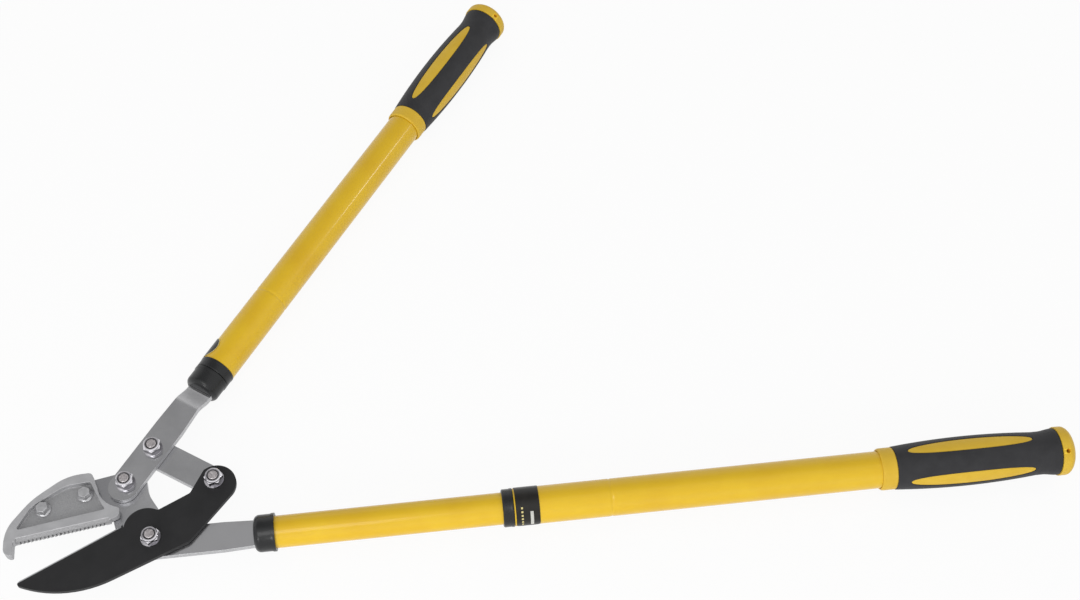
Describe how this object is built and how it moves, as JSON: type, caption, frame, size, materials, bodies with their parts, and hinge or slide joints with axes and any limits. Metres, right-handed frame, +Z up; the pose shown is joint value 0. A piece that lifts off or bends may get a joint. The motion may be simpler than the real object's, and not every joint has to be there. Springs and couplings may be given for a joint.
{
  "type": "telescopic lopper",
  "caption": "Long-handled anvil lopper with compound linkage head, telescopic tube handles and ridged soft grips, lying open on its side.",
  "frame": {"origin": "middle of the base of the bounding box, with the handles parallel to the floor", "axes": "+X along the lower handle away from the head, +Y towards the opened upper handle, +Z up on the side of the nuts"},
  "size_m": [0.8548, 0.5692, 0.0402],
  "materials": {
    "satin_steel": "satin",
    "cast_aluminium": "fine cast grain",
    "coated_blade": "black low-friction coating",
    "zinc_steel": "bright zinc plating",
    "black_plastic": "satin moulded",
    "grip_rubber": "soft matt",
    "yellow_paint": "gloss yellow paint on aluminium tube",
    "yellow_plastic": "satin moulded",
    "white_plastic": "matt moulded",
    "sticker_film": "printed film"
  },
  "bodies": {
    "jaw": {"jaw_plate": "satin_steel", "anvil": "cast_aluminium", "anvil_rivet_front": "zinc_steel", "anvil_rivet_rear": "zinc_steel", "main_bolt": "zinc_steel", "main_nut": "zinc_steel", "main_washer": "zinc_steel", "lever_bolt": "zinc_steel", "lever_nut": "zinc_steel", "ferrule_a": "black_plastic", "tang_plug_a": "black_plastic", "tang_pin_a": "zinc_steel", "inner_tube_a": "yellow_paint", "lock_stem_a": "white_plastic", "lock_screw_a": "zinc_steel"},
    "blade": {"blade": "coated_blade", "tail_bolt": "zinc_steel", "tail_nut": "zinc_steel", "tail_washer": "zinc_steel"},
    "link": {"link_bar": "satin_steel"},
    "lever": {"lever_bar": "satin_steel", "link_bolt": "zinc_steel", "link_nut": "zinc_steel", "ferrule_b": "black_plastic", "tang_plug_b": "black_plastic", "tang_pin_b": "zinc_steel", "inner_tube_b": "yellow_paint", "lock_stem_b": "white_plastic", "lock_screw_b": "zinc_steel"},
    "lock_a": {"lock_sleeve_a": "white_plastic"},
    "lock_b": {"lock_sleeve_b": "white_plastic"},
    "outer_a": {"outer_tube_a": "yellow_paint", "collar_a": "black_plastic", "grip_core_a": "yellow_plastic", "grip_sleeve_a": "grip_rubber", "end_cap_a": "yellow_plastic", "band_label": "sticker_film"},
    "outer_b": {"outer_tube_b": "yellow_paint", "collar_b": "black_plastic", "grip_core_b": "yellow_plastic", "grip_sleeve_b": "grip_rubber", "end_cap_b": "yellow_plastic", "round_badge": "sticker_film"}
  },
  "joints": [
    {"name": "handle_swing", "type": "hinge", "parent": "jaw", "child": "lever", "pos_m": [-0.33475, -0.19718, 0.0201], "axis": [0, 0, 1], "range_deg": [-33, 10]},
    {"name": "blade_swing", "type": "hinge", "parent": "jaw", "child": "blade", "pos_m": [-0.31455, -0.24698, 0.0201], "axis": [0, 0, 1], "range_deg": [-18.06, 5.48]},
    {"name": "link_swing", "type": "hinge", "parent": "lever", "child": "link", "pos_m": [-0.31365, -0.16858, 0.0201], "axis": [0, 0, 1], "range_deg": [-9.33, 30.78]},
    {"name": "lock_twist_a", "type": "hinge", "parent": "jaw", "child": "lock_a", "pos_m": [-0.21855, -0.24988, 0.0201], "axis": [1, 0, 0], "range_deg": [0, 90]},
    {"name": "slide_a", "type": "slide", "parent": "lock_a", "child": "outer_a", "axis": [1, 0, 0], "range_m": [-0.1785, 0]},
    {"name": "lock_twist_b", "type": "hinge", "parent": "lever", "child": "lock_b", "pos_m": [-0.26749, -0.1023, 0.0201], "axis": [0.5825, 0.8128, 0], "range_deg": [0, 90]},
    {"name": "slide_b", "type": "slide", "parent": "lock_b", "child": "outer_b", "axis": [0.5825, 0.8128, 0], "range_m": [0, 0.1785]}
  ],
  "couplings": [
    {"joint": "blade_swing", "follows": "handle_swing", "ratio": 0.547},
    {"joint": "link_swing", "follows": "handle_swing", "ratio": -0.9325}
  ]
}
